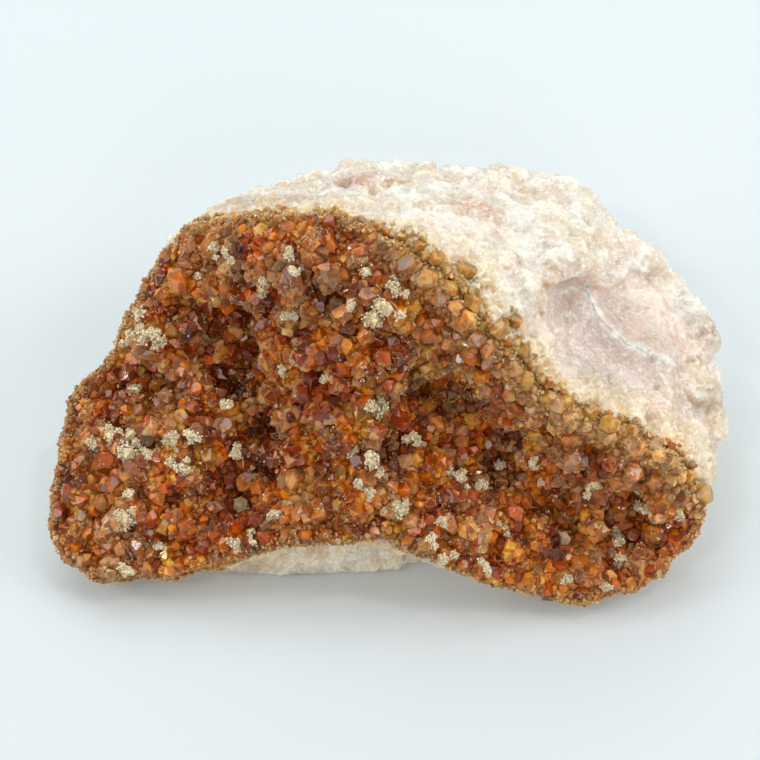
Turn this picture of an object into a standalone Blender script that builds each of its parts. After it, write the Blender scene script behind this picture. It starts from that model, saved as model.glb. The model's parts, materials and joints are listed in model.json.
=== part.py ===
"""Citrine cluster: a crust of small citrine crystals on a broken mass of milky quartz.

The display face is laid out as on a drawing board: "across" runs to the right, "up" runs up the board
and "out" comes out of it, all in millimetres. The board then leans back, so that the specimen lies on
its flat foot with the crystal crust facing the viewer and up. The row frame has +Z up, +X to the
right, +Y away from the viewer, and its origin under the middle of the specimen, on the resting face.
"""

import math
import random

import bmesh
import bpy
import numpy as np
from mathutils import Matrix, Vector, geometry, noise

MM = 0.001

# How the board leans: its outward normal rises this many degrees above the horizon, and the board's
# origin is this far above the resting face.
FACE_RISE = math.radians(57)
BOARD_HEIGHT = 20.0

# Crust of citrine
CRUST_RIM = 1.5         # thickness at its broken edge
CRUST_FULL = 4.0        # thickness of the growth layer away from the edge
CRUST_TAPER = 6.0       # width of the band where it thins
CRUST_SEAT_GAP = 0.4    # clearance between the crust and the quartz under it
CRUST_OVERHANG = 1.3    # how far its free edge stands out past the quartz
CRUST_RAGGED = 0.7      # how far its broken rim wanders from the drawn line
SEAT_STEP = 3.6         # edge length of the hidden surfaces between crust and quartz

# Crystals. Each stands in its own cell of the crust and meets its neighbours in the grooves between
CRYSTAL_SPACING = (3.1, 4.9)        # centre distances, from the finest to the coarsest patches
CRYSTAL_FILL = 0.86                 # shoulder width against the width of the cell
CRYSTAL_PRISM = (0.15, 0.6)         # height of the prism faces, in crystal radii
CRYSTAL_TIP = (0.5, 0.8)            # height of the tip over the shoulder, in crystal radii
CRYSTAL_TILT = math.tan(math.radians(20))
GROOVE = 0.5                        # depth of the grooves below the skin
CRYSTAL_TRIES = 7000

# Quartz
BARE_STEP = 2.2         # edge length of the bare front
OUTLINE_STEP = 2.7      # edge length of the outline and the skirt
FRACTURE_SIZE = 8.5     # width of one fracture facet
FRACTURE_RELIEF = 2.6   # height difference between neighbours
FACET_TILT = 0.42       # slope of a facet against the general surface
FACET_WEAR = 0.9        # how far the steps between facets are worn down
QUARTZ_RAGGED = 0.7     # how far its outline wanders from the drawn line
LEDGE_DROP = 3.4        # the hackly ledge over the rose-coloured window
LEDGE_RUN = 0.6         # and the width of its face on the board
SKIRT_RINGS = 6
SKIRT_BULGE = 2.6
SKIRT_RELIEF = 1.2      # the skirt's fracture relief, against that of the front

SEED = 7

# The crust's rim, clockwise from its top left corner: (across, up, out)
CRUST_EDGE = [
    (-31, 25, 3), (-23, 25.5, 7), (-16, 26, 11), (-8, 25.5, 15), (-1, 23, 17), (7, 18, 20), (15, 10, 20),
    (21, 3, 17), (29, -3, 15), (38, -7, 12), (48, -13, 7), (52, -19, 5), (50, -27, 3), (44, -32, 4),
    (34, -36, 4), (24, -34.5, 4), (16, -32, 6), (8, -28.5, 8), (1, -26, 9), (-8, -25.5, 9), (-17, -26.5, 8),
    (-26, -30, 5), (-35, -32, 3), (-44, -33, 3), (-51, -30, 2), (-54, -25, 1), (-53, -16, -1), (-53, -8, -3),
    (-50, -1, -3), (-44, 5, -1), (-40, 13, 0), (-36, 20, 1),
]
# It stands free over the quartz below this height on the board, and to the left of this line
FREE_BELOW, FREE_LEFT = -20, -36

# The outline of the bare quartz, clockwise from behind the crust's top left corner
QUARTZ_EDGE = [
    (-33, 24, 0), (-29, 28, -3), (-27, 30, -9), (-21, 33, -13), (-14, 34, -14), (-9, 37, -16), (-5, 39, -17),
    (0, 37, -16), (10, 38, -18), (21, 37, -20), (30, 36, -21), (37, 34, -22), (41, 28, -20), (47, 23, -17),
    (52, 17, -16), (56, 11, -14), (57, 3, -11), (57, -6, -7), (55, -14, -1), (52.5, -18, 3),
]

# Spot heights of the skin between those edges: bosses, hollows and the bare slope behind the ridge
SPOTS = [
    (-42, -10, 2), (-34, 8, 4), (-40, -24, 4), (-29, -16, 5), (-25, 19, 8), (-23, 5, 1.5), (-26, -6, 5),
    (-18, -11, 3), (-8, 14, 16), (-6, 5, 16), (-7, -6, 12), (-3, -17, 11), (9, 8, 17), (3, 15, 19),
    (12, -3, 8), (21, -11, 5.5), (14, -21, 7), (29, -19, 2.5), (40, -23, 1.5), (34, -11, 11), (29, -29, 4),
    (-20, 30, -4), (-7, 31, -2), (11, 28, 2), (23, 24, 2), (33, 25, -5), (21, 14, 15), (36, 13, -1),
    (28, 6, 11), (45, 8, -5), (38, 0, 7), (49, -3, -1),
]

# Chips in the quartz where its outline goes under the crust: (across, up)
CHIPS = [(-34.5, 22), (51.5, -19)]
CHIP_DEPTH = 3.6
CHIP_RADIUS = 5.0

# Hollows between the lumps of crystals: (across, up, radius, depth)
HOLLOWS = [
    (-22, 8.5, 4, 2.0), (-22.5, 1, 4.5, 2.4), (-36, 1, 4, 1.8), (-19, -8, 3.5, 1.8), (-18, -15, 3.5, 1.6),
    (-22.5, -19, 3.5, 1.6), (6.5, -1.5, 4, 1.8), (11, -4, 4, 1.8), (19, -12.5, 5, 2.0), (28.5, -21, 5, 2.0),
    (40.5, -21, 5, 2.0),
]
LUMP_SIZE = 8.0         # width of the lumps between them
LUMP_HEIGHT = 1.0

# The ledge above the rose-coloured window, left to right: (across, up)
LEDGE = [(23.5, 18), (27, 14.5), (32, 16.5), (39, 15), (43, 19)]

# Where the quartz meets the resting face, clockwise from the left: (x, y)
FOOT = [
    (-49, -9), (-44, 6), (-33, 19), (-24, 28), (-10, 34), (4, 36), (20, 35), (32, 33), (42, 25), (49, 13),
    (52, 0), (49, -12), (42, -21), (32, -26), (20, -25), (9, -22), (-1, -24.5), (-13, -25.2), (-24, -25),
    (-36, -23.5), (-45, -19),
]


def from_board(across, up, out):
    """A place on the leaning board, in the row frame. Works on numbers and on arrays."""
    rise_sin, rise_cos = math.sin(FACE_RISE), math.cos(FACE_RISE)
    return across, up * rise_sin - out * rise_cos, up * rise_cos + out * rise_sin + BOARD_HEIGHT


def curve_through(points, step):
    """A closed Catmull-Rom curve through the points, resampled at about the given step."""
    points = np.array(points, float)
    fine = []
    for i in range(len(points)):
        before, a, b, after = (points[(i + k) % len(points)] for k in (-1, 0, 1, 2))
        for t in np.linspace(0, 1, 12, endpoint=False):
            fine.append(0.5 * (2 * a + (b - before) * t + (2 * before - 5 * a + 4 * b - after) * t ** 2
                               + (3 * a - before - 3 * b + after) * t ** 3))
    fine = np.array(fine)
    closed = np.vstack([fine, fine[:1]])
    run = np.concatenate([[0], np.cumsum(np.linalg.norm(np.diff(closed[:, :2], axis=0), axis=1))])
    wanted = np.linspace(0, run[-1], max(8, round(run[-1] / step)), endpoint=False)
    return np.column_stack([np.interp(wanted, run, closed[:, k]) for k in range(points.shape[1])])


def ragged(outline, by, seed):
    """The outline with a broken, wandering course."""
    shift = np.array([noise.noise(Vector((*p[:2], seed)) * 0.55) for p in outline])
    along = np.roll(outline[:, :2], -1, axis=0) - np.roll(outline[:, :2], 1, axis=0)
    normal = np.column_stack([-along[:, 1], along[:, 0]]) / np.linalg.norm(along, axis=1)[:, None]
    moved = outline.copy()
    moved[:, :2] += normal * (2 * by * shift)[:, None]
    return moved


def inside_depth(points, outline):
    """Distance of each point from a closed outline, positive inside it."""
    points, a = np.atleast_2d(points)[:, :2], outline[:, :2]
    b = np.roll(a, -1, axis=0)
    edge = b - a
    to_point = points[:, None] - a[None]
    share = np.clip((to_point * edge).sum(2) / (edge ** 2).sum(1), 0, 1)
    distance = np.linalg.norm(to_point - share[..., None] * edge, axis=2).min(1)
    x, y = points[:, 0, None], points[:, 1, None]
    crosses = (a[:, 1] > y) != (b[:, 1] > y)
    rise = np.where(b[:, 1] == a[:, 1], 1e-9, b[:, 1] - a[:, 1])
    left = x < a[:, 0] + (y - a[:, 1]) / rise * edge[:, 0]
    return np.where((crosses & left).sum(1) % 2 == 1, distance, -distance)


def grown(outline, by):
    """The outline moved outwards by a distance. It runs clockwise."""
    along = np.roll(outline[:, :2], -1, axis=0) - np.roll(outline[:, :2], 1, axis=0)
    normal = np.column_stack([-along[:, 1], along[:, 0]]) / np.linalg.norm(along, axis=1)[:, None]
    moved = outline.copy()
    moved[:, :2] += normal * by
    return moved


class Skin:
    """The specimen's skin: a thin plate bent through the rims and the spot heights."""

    def __init__(self, points, crust_edge):
        self.crust_edge = crust_edge
        self.points = np.array(points, float)
        count = len(self.points)
        plain = np.column_stack([np.ones(count), self.points[:, :2]])
        system = np.zeros((count + 3, count + 3))
        system[:count, :count] = self.bending(self.points[:, :2]) + 2.0 * np.eye(count)
        system[:count, count:] = plain
        system[count:, :count] = plain.T
        self.weights = np.linalg.solve(system, np.concatenate([self.points[:, 2], np.zeros(3)]))

    def bending(self, where):
        square = ((where[:, None] - self.points[None, :, :2]) ** 2).sum(2)
        return 0.5 * square * np.log(np.maximum(square, 1e-9))

    def out(self, where):
        where = np.atleast_2d(where)[:, :2]
        plain = np.column_stack([np.ones(len(where)), where])
        level = self.bending(where) @ self.weights[:-3] + plain @ self.weights[-3:]
        growth = np.clip(inside_depth(where, self.crust_edge) / 4, 0, 1)
        lumps = np.array([noise.noise(Vector((*p, 0)) * (2 / LUMP_SIZE)) for p in where])
        level += growth * LUMP_HEIGHT * lumps
        for across, up, radius, depth in HOLLOWS:
            square = ((where - [across, up]) ** 2).sum(1)
            level -= growth * depth * np.exp(-square / radius ** 2)
        return level

    def normal(self, where):
        """Unit normals on the board, facing out of it."""
        where = np.atleast_2d(where)[:, :2]
        slope_x = self.out(where + [0.5, 0]) - self.out(where - [0.5, 0])
        slope_y = self.out(where + [0, 0.5]) - self.out(where - [0, 0.5])
        normal = np.column_stack([-slope_x, -slope_y, np.ones(len(where))])
        return normal / np.linalg.norm(normal, axis=1)[:, None]


def crust_depth(inside):
    """Thickness of the crust at a distance inside its rim."""
    share = np.clip(inside / CRUST_TAPER, 0, 1)
    return CRUST_RIM + (CRUST_FULL - CRUST_RIM) * np.sqrt(share)


def fracture_seeds(draw):
    """Random planes through the quartz along which it broke: place, height and slopes."""
    seeds = []
    for x in np.arange(-64, 65, FRACTURE_SIZE):
        for y in np.arange(-48, 49, FRACTURE_SIZE):
            for z in np.arange(-4, 60, FRACTURE_SIZE):
                jitter = [draw.uniform(-0.45, 0.45) * FRACTURE_SIZE for _ in range(3)]
                slope = [draw.uniform(-1, 1) * FACET_TILT for _ in range(3)]
                seeds.append((x + jitter[0], y + jitter[1], z + jitter[2], draw.uniform(-1, 1), *slope))
    return np.array(seeds)


def fracture(places, seeds):
    """Relief of broken quartz at places in the row frame: flat facets that meet in worn steps."""
    relief = np.zeros(len(places))
    wear = FACET_WEAR * np.array([(1, 1, 1), (1, -1, -1), (-1, 1, -1), (-1, -1, 1)])
    for shift in wear:
        offset = (places + shift)[:, None] - seeds[None, :, :3]
        mine = (offset ** 2).sum(2).argmin(1)
        rows = np.arange(len(places))
        relief += FRACTURE_RELIEF * 0.5 * seeds[mine, 3] + (offset[rows, mine] * seeds[mine, 4:]).sum(1)
    return relief / len(wear)


def below_ledge(where):
    """1 under the ledge, in the window, falling to 0 above it and away from it."""
    line = np.array(LEDGE, float)
    level = np.interp(where[:, 0], line[:, 0], line[:, 1])
    under = np.clip((level - where[:, 1]) / LEDGE_RUN, 0, 1)
    near = np.clip(1 - (level - where[:, 1] - 12) / 10, 0, 1)
    from_left = np.clip((where[:, 0] - line[0, 0] + 1) / 4, 0, 1)
    from_right = np.clip((line[-1, 0] + 3 - where[:, 0]) / 6, 0, 1)
    return under * near * from_left * from_right


def scattered(outline, step, clear_of, draw):
    """A jittered triangular grid of points inside the outline, clear of the given lines."""
    low, high = outline[:, :2].min(0), outline[:, :2].max(0)
    grid = []
    for row, y in enumerate(np.arange(low[1], high[1], step * 0.866)):
        for x in np.arange(low[0] + (row % 2) * step / 2, high[0], step):
            grid.append((x + draw.uniform(-0.25, 0.25) * step, y + draw.uniform(-0.25, 0.25) * step))
    grid = np.array(grid)
    keep = inside_depth(grid, outline) > 0.55 * step
    for line in clear_of:
        gap = np.linalg.norm(grid[:, None] - line[None, :, :2], axis=2).min(1)
        keep &= gap > 0.5 * step
    return grid[keep]


def triangulated(outline, lines, inner):
    """Triangles over the outline, with its edges, the lines' edges and the inner points in them.

    Returns the flat points and the triangles. The first points are the outline's own, in order.
    """
    points = [Vector(p[:2]) for p in outline]
    edges = [(i, (i + 1) % len(outline)) for i in range(len(outline))]
    for line in lines:
        within = inside_depth(line, outline) > 0.5
        start = len(points)
        points += [Vector(p[:2]) for p in line]
        for i in range(len(line) - 1):
            if within[i] and within[i + 1]:
                edges.append((start + i, start + i + 1))
    used = {i for edge in edges for i in edge}
    order = {old: new for new, old in enumerate(sorted(used))}
    points = [points[old] for old in sorted(used)] + [Vector(p) for p in inner]
    edges = [(order[a], order[b]) for a, b in edges]
    flat, _, faces, _, _, _ = geometry.delaunay_2d_cdt(points, edges, [], 0, 1e-5)
    flat = np.array([tuple(p) for p in flat])
    faces = np.array([tuple(f) for f in faces])
    kept = faces[inside_depth(flat[faces].mean(1), outline) > 0]
    return flat, kept


def solid_from(name, corners, faces, material):
    """A named object from points in millimetres, in the row frame."""
    mesh = bpy.data.meshes.new(name)
    mesh.from_pydata([Vector(c) * MM for c in corners], [], [tuple(int(i) for i in f) for f in faces])
    shape = bmesh.new()
    shape.from_mesh(mesh)
    bmesh.ops.recalc_face_normals(shape, faces=shape.faces)
    if shape.calc_volume(signed=True) < 0:
        bmesh.ops.reverse_faces(shape, faces=shape.faces)
    shape.to_mesh(mesh)
    shape.free()
    mesh.materials.append(material)
    made = bpy.data.objects.new(name, mesh)
    bpy.context.scene.collection.objects.link(made)
    return made


def foot_at(angle):
    """Distance from the middle to the foot's outline in a direction in plan."""
    foot = curve_through(FOOT, 1.0)
    bearing = np.arctan2(foot[:, 1], foot[:, 0])
    order = np.argsort(bearing)
    reach = np.hypot(foot[:, 0], foot[:, 1])[order]
    return np.interp(angle, bearing[order], reach, period=2 * math.pi)


def is_free(point):
    """Whether a point of the crust's rim lies on its free stretch, at the left and along the bottom."""
    return point[1] < FREE_BELOW or point[0] < FREE_LEFT


def quartz_outline(crust_edge):
    """The outline of the quartz: bare at the back and right, tucked under the crust elsewhere."""
    free = [tuple(p) for p in grown(crust_edge, -CRUST_OVERHANG) if is_free(p)]
    drawn = curve_through(QUARTZ_EDGE + free, OUTLINE_STEP)
    under = inside_depth(drawn, crust_edge) > 0
    return np.where(under[:, None], drawn, ragged(drawn, QUARTZ_RAGGED, 5.7))


def quartz_front(skin, crust_edge, seat, outline, seeds, draw):
    """The broken front with the seat of the crust in it: corners in the row frame, and triangles."""
    seat_top = grown(crust_edge, CRUST_SEAT_GAP)
    across = np.linspace(LEDGE[0][0], LEDGE[-1][0], 9)
    ledge = np.column_stack([across, np.interp(across, *np.array(LEDGE).T)])
    lines = [np.vstack([loop, loop[:1]]) for loop in (seat_top, crust_edge)]
    lines += [ledge, ledge - [0, LEDGE_RUN]]
    bare = scattered(outline, BARE_STEP, [seat_top, ledge], draw)
    bare = bare[inside_depth(bare, seat_top) < 0]
    seat = seat[inside_depth(seat, outline) > 0.8]
    flat, faces = triangulated(outline, lines, np.vstack([bare, seat]))

    in_crust = inside_depth(flat, crust_edge)
    covered = np.clip(1 + in_crust / CRUST_SEAT_GAP, 0, 1)
    bareness = np.clip((-in_crust - CRUST_SEAT_GAP) / 2.5, 0, 1)
    out = skin.out(flat) - covered * (crust_depth(np.maximum(in_crust, 0)) + CRUST_SEAT_GAP)
    smooth = np.column_stack(from_board(flat[:, 0], flat[:, 1], out))
    from_edge = np.clip(inside_depth(flat, outline) / 2 + 0.3, 0, 1)
    out += bareness * from_edge * (fracture(smooth, seeds) - LEDGE_DROP * below_ledge(flat))
    for chip in CHIPS:
        out -= CHIP_DEPTH * np.exp(-((flat - chip) ** 2).sum(1) / CHIP_RADIUS ** 2)
    return np.column_stack(from_board(flat[:, 0], flat[:, 1], out)), faces


def quartz_matrix(skin, crust_edge, seat, material, draw):
    """The milky quartz: a broken front with a seat for the crust, rough sides and a flat foot."""
    seeds = fracture_seeds(draw)
    front, sheet = quartz_front(skin, crust_edge, seat, quartz_outline(crust_edge), seeds, draw)
    rim = ordered_rim(sheet)
    corners, faces = [tuple(p) for p in front], [tuple(f) for f in sheet]
    top = front[rim]
    bearing = np.arctan2(top[:, 1], top[:, 0])
    outward = np.column_stack([np.cos(bearing), np.sin(bearing), np.zeros(len(rim))])
    foot = outward * foot_at(bearing)[:, None]
    ring = list(rim)
    for k in range(1, SKIRT_RINGS + 1):
        share = k / SKIRT_RINGS
        level = top + (foot - top) * share
        if k < SKIRT_RINGS:
            swell = SKIRT_BULGE * math.sin(math.pi * share) * np.clip((top[:, 2] - 4) / 16, 0, 1)
            rough = fracture(level, seeds) * SKIRT_RELIEF * np.clip((top[:, 2] - 5) / 10, 0, 1)
            level = level + outward * (swell + rough)[:, None]
            level[:, 2] = np.maximum(level[:, 2] + rough * 0.4, 0.5)
        below = [len(corners) + i for i in range(len(rim))]
        corners += [tuple(p) for p in level]
        for i in range(len(rim)):
            j = (i + 1) % len(rim)
            faces += [(ring[i], ring[j], below[j]), (ring[i], below[j], below[i])]
        ring = below
    faces.append(tuple(ring))
    return solid_from("quartz_matrix", corners, faces, material)


def ordered_rim(faces):
    """The boundary vertices of a triangulated sheet, in order round it."""
    count = {}
    for f in faces:
        for a, b in ((f[0], f[1]), (f[1], f[2]), (f[2], f[0])):
            count[(a, b)] = count.get((a, b), 0) + 1
    follows = {a: b for a, b in count if (b, a) not in count}
    start = next(iter(follows))
    rim, at = [start], follows[start]
    while at != start:
        rim.append(at)
        at = follows[at]
    return rim


def crystal_seats(crust_edge, draw):
    """Where crystals stand: a loose even scatter, finer in some patches than in others."""
    low, high = crust_edge[:, :2].min(0), crust_edge[:, :2].max(0)
    tried = [(draw.uniform(low[0], high[0]), draw.uniform(low[1], high[1])) for _ in range(CRYSTAL_TRIES)]
    tried = np.array(tried)
    fine, coarse = CRYSTAL_SPACING
    room = inside_depth(tried, crust_edge)
    rim = grown(crust_edge, -0.5 * fine)
    seats = np.column_stack([rim[:, :2], np.full(len(rim), fine)])
    for where, inside in zip(tried, room):
        patch = 0.5 + noise.noise(Vector((*where, 3.1)) * 0.09)
        spacing = fine + (coarse - fine) * min(1, max(0, patch))
        if inside < 0.8 * spacing:
            continue
        gap = np.linalg.norm(seats[:, :2] - where, axis=1)
        if (gap > 0.45 * (seats[:, 2] + spacing)).all():
            seats = np.vstack([seats, (*where, spacing)])
    return seats


def bearings(centre, around):
    """Indices of the points around a centre in order of bearing, and their bearings."""
    offset = around - centre
    angle = np.arctan2(offset[:, 1], offset[:, 0]) % (2 * math.pi)
    order = np.argsort(angle)
    return order, angle[order]


def reach_towards(centre, around, angle):
    """Distance from the centre to the polygon of points around it in a direction."""
    direction = np.array([math.cos(angle), math.sin(angle)])
    nearest = 1e9
    for a, b in zip(around, np.roll(around, -1, axis=0)):
        side = b - a
        cross = direction[0] * side[1] - direction[1] * side[0]
        if abs(cross) < 1e-9:
            continue
        offset = a - centre
        along = (offset[0] * side[1] - offset[1] * side[0]) / cross
        share = (offset[0] * direction[1] - offset[1] * direction[0]) / cross
        if along > 0 and -1e-6 <= share <= 1 + 1e-6:
            nearest = min(nearest, along)
    return nearest


def bridge(lower, lower_angle, upper, upper_angle):
    """Triangles between two rings of indices, both in order of bearing."""
    faces, i, j = [], 0, 0
    full = 2 * math.pi
    while i < len(lower) or j < len(upper):
        next_lower = lower_angle[(i + 1) % len(lower)] + full * ((i + 1) // len(lower))
        next_upper = upper_angle[(j + 1) % len(upper)] + full * ((j + 1) // len(upper))
        a, b = lower[i % len(lower)], upper[j % len(upper)]
        if j >= len(upper) or (i < len(lower) and next_lower <= next_upper):
            faces.append((a, lower[(i + 1) % len(lower)], b))
            i += 1
        else:
            faces.append((a, upper[(j + 1) % len(upper)], b))
            j += 1
    return faces


def crystal(centre, cell, cell_indices, first, draw):
    """One quartz point in its cell: six prism faces under six uneven tip faces.

    Returns its own corners as (across, up, height over the skin) and its faces.
    """
    order, angle = bearings(centre, cell)
    cell, ring = cell[order], [int(cell_indices[i]) for i in order]
    radius = np.linalg.norm(cell - centre, axis=1).mean()
    prism = radius * draw.uniform(*CRYSTAL_PRISM)
    tip = radius * draw.uniform(*CRYSTAL_TIP)
    lean = np.array([draw.uniform(-1, 1), draw.uniform(-1, 1)]) * CRYSTAL_TILT
    start = draw.uniform(0, math.pi / 3)
    shoulder_angle = np.array([start + k * math.pi / 3 for k in range(6)])
    corners = []
    for turn in shoulder_angle:
        wide = min(radius * draw.uniform(0.9, 1.05), reach_towards(centre, cell, turn)) * CRYSTAL_FILL
        offset = np.array([math.cos(turn), math.sin(turn)]) * wide
        height = prism + radius * draw.uniform(-0.12, 0.12) - (lean * offset).sum()
        corners.append((*(centre + offset + lean * radius * 0.1), max(height, 0.1)))
    corners.append((*(centre + lean * radius * 0.55), prism + tip))
    shoulder = [first + k for k in range(6)]
    faces = bridge(ring, angle, shoulder, shoulder_angle)
    faces += [(shoulder[k], shoulder[(k + 1) % 6], first + 6) for k in range(6)]
    return corners, faces


def crystal_cells(crust_edge, draw):
    """The crust's face cut into cells, one to a crystal.

    Returns the flat points (the rim's corners, then the crystals' centres), the cells' corners, and for
    each flat point the numbers of the corners round it.
    """
    flat, triangles = triangulated(crust_edge, [], crystal_seats(crust_edge, draw)[:, :2])
    around = {}
    for number, triangle in enumerate(triangles):
        for corner in triangle:
            around.setdefault(int(corner), []).append(number)
    return flat, flat[triangles].mean(1), around, triangles


def citrine_druse(skin, crust_edge, seat, material, draw):
    """The growth layer with its crystals: the skin above, the seat below, a broken rim between."""
    rim_count = len(crust_edge)
    flat, groove, around, triangles = crystal_cells(crust_edge, draw)
    places = [(*p, 0.0) for p in flat[:rim_count]]
    places += [(*p, -GROOVE * draw.uniform(0.4, 1.2)) for p in groove]
    faces = []
    for number, triangle in enumerate(triangles):
        for a, b in zip(triangle, np.roll(triangle, -1)):
            if max(a, b) < rim_count and (b - a) % rim_count in (1, rim_count - 1):
                faces.append((int(a), int(b), rim_count + number))
    for corner, numbers in around.items():
        if corner < rim_count:
            faces += rim_fan(corner, flat, groove, numbers, rim_count)
        else:
            indices = np.array(numbers) + rim_count
            added, sides = crystal(flat[corner], groove[numbers], indices, len(places), draw)
            places += added
            faces += sides
    places = np.array(places)
    stand = skin.normal(places) * places[:, 2:3]
    level = skin.out(places) + stand[:, 2]
    above = from_board(places[:, 0] + stand[:, 0], places[:, 1] + stand[:, 1], level)

    under, under_faces = triangulated(crust_edge, [], seat)
    under_level = skin.out(under) - crust_depth(np.maximum(inside_depth(under, crust_edge), 0))
    below = from_board(under[:, 0], under[:, 1], under_level)
    shift = len(places)
    faces += [tuple(int(i) + shift for i in reversed(f)) for f in under_faces]
    for a in range(rim_count):
        b = (a + 1) % rim_count
        faces.append((a, a + shift, b + shift, b))
    corners = np.vstack([np.column_stack(above), np.column_stack(below)])
    return solid_from("citrine_druse", corners, faces, material)


def rim_fan(corner, flat, groove, numbers, rim_count):
    """The strip of growth layer between one corner of the rim and the nearest grooves."""
    side = flat[(corner + 1) % rim_count] - flat[(corner - 1) % rim_count]
    inward = np.array([side[1], -side[0]])
    offset = groove[numbers] - flat[corner]
    angle = np.arctan2(offset[:, 1], offset[:, 0]) - math.atan2(inward[1], inward[0])
    angle = (angle + math.pi) % (2 * math.pi)
    order = [numbers[i] + rim_count for i in np.argsort(angle)]
    return [(corner, a, b) for a, b in zip(order, order[1:])]


def centred(objects):
    """Moves the specimen so that the origin is under the middle of its bounding box."""
    corners = np.array([corner.co for made in objects for corner in made.data.vertices])
    low, high = corners.min(0), corners.max(0)
    shift = Vector((-(low[0] + high[0]) / 2, -(low[1] + high[1]) / 2, -low[2]))
    for made in objects:
        made.data.transform(Matrix.Translation(shift))


def finish(name, colour, roughness, clearness):
    """A Principled material with a plain colour."""
    material = bpy.data.materials.new(name)
    material.use_nodes = True
    shader = material.node_tree.nodes["Principled BSDF"]
    shader.inputs["Base Color"].default_value = (*colour, 1)
    shader.inputs["Roughness"].default_value = roughness
    shader.inputs["Metallic"].default_value = 0.0
    shader.inputs["Transmission Weight"].default_value = clearness
    shader.inputs["IOR"].default_value = 1.54
    return material


def main():
    for old in list(bpy.data.objects):
        bpy.data.objects.remove(old)
    draw = random.Random(SEED)
    crust_edge = ragged(curve_through(CRUST_EDGE, 3.0), CRUST_RAGGED, 1.3)
    skin = Skin(CRUST_EDGE + QUARTZ_EDGE + SPOTS, crust_edge)
    milky = finish("milky quartz", (0.83, 0.76, 0.68), 0.35, 0.2)
    citrine = finish("citrine", (0.42, 0.13, 0.03), 0.15, 0.4)

    seat = scattered(crust_edge, SEAT_STEP, [], draw)
    matrix = quartz_matrix(skin, crust_edge, seat, milky, draw)
    druse = citrine_druse(skin, crust_edge, seat, citrine, draw)
    centred([matrix, druse])


main()
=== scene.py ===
"""Looks of the citrine cluster: a crust of small orange crystals on milky and rose quartz.

Lengths are in metres in the row frame, unless a name ends in MM. Feature positions are pixels of the
photograph's 760 by 760 frame, brought onto the solids along the camera's rays.
"""

import json
import math

import bmesh
import bpy
import numpy as np
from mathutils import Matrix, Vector, bvhtree, noise

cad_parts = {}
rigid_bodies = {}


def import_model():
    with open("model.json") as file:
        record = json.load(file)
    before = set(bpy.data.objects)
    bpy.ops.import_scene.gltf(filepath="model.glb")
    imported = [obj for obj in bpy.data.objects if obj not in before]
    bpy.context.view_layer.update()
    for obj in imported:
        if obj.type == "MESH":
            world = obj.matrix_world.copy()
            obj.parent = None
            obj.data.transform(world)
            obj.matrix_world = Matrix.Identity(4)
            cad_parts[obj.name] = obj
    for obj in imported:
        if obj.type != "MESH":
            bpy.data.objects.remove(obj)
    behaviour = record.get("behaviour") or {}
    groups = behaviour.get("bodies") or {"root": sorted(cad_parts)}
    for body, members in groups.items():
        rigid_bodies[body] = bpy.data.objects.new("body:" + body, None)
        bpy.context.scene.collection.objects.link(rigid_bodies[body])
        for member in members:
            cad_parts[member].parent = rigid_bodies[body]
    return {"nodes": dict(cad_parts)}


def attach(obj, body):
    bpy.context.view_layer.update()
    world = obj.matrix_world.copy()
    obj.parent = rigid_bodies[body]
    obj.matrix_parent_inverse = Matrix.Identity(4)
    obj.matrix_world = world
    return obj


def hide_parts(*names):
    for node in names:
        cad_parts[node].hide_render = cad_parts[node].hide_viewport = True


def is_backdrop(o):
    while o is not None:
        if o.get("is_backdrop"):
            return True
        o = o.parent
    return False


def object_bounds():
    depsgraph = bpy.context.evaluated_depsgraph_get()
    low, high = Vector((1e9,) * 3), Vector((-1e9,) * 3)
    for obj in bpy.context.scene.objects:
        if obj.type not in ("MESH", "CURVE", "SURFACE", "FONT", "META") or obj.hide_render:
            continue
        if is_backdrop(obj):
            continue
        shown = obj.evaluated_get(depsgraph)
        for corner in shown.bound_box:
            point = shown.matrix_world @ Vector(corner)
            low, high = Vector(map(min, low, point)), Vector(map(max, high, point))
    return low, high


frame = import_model()
CAD_LOW, CAD_HIGH = (tuple(corner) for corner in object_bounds())

MM = 0.001
SEED = 11

# The photograph's camera: it looks square onto the leaning crust
FOCUS = Vector((-0.00212, -0.00499, 0.020))
FACE_RISE = math.radians(57)
DISTANCE = 0.250
PICTURE = 760
MM_PER_PIXEL = 0.1625
FACING = Vector((0, -math.cos(FACE_RISE), math.sin(FACE_RISE)))
UPWARD = Vector((0, math.sin(FACE_RISE), math.cos(FACE_RISE)))
EYE = FOCUS + FACING * DISTANCE


def linear(red, green, blue):
    """A linear colour from sRGB values of 0 to 255."""
    shares = [value / 255 for value in (red, green, blue)]
    return tuple(c / 12.92 if c < 0.0392 else ((c + 0.055) / 1.055) ** 2.4 for c in shares)


# Colours of the crystals
ORANGE = linear(252, 140, 18)
AMBER = linear(250, 180, 66)
RUST = linear(216, 92, 10)
BROWN = linear(152, 54, 12)
PURPLE_BROWN = linear(158, 92, 70)
TAN = linear(250, 200, 136)
CREAM = linear(252, 238, 206)
SUGAR = linear(246, 206, 162)
GOLD = linear(255, 202, 128)
# The painted glow on the bevelled edges of the crystals
PAINTED_EDGE_GLOW = linear(240, 172, 104)
KNOB = linear(242, 192, 98)
SEAM = linear(255, 208, 136)
PALETTE = np.array([PURPLE_BROWN, BROWN, BROWN, RUST, ORANGE, ORANGE, AMBER, AMBER])

# Colours of the quartz
MILK = linear(241, 235, 223)
YELLOW_CREAM = linear(236, 210, 164)
ROSE = linear(238, 210, 199)
STAIN = linear(206, 136, 84)
PINK_BROWN = linear(192, 132, 106)
VEIN_WHITE = linear(253, 250, 244)
MAUVE = linear(236, 217, 208)
SALMON = linear(250, 226, 213)
PEACH = linear(240, 190, 160)

PAPER = linear(216, 222, 224)

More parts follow.
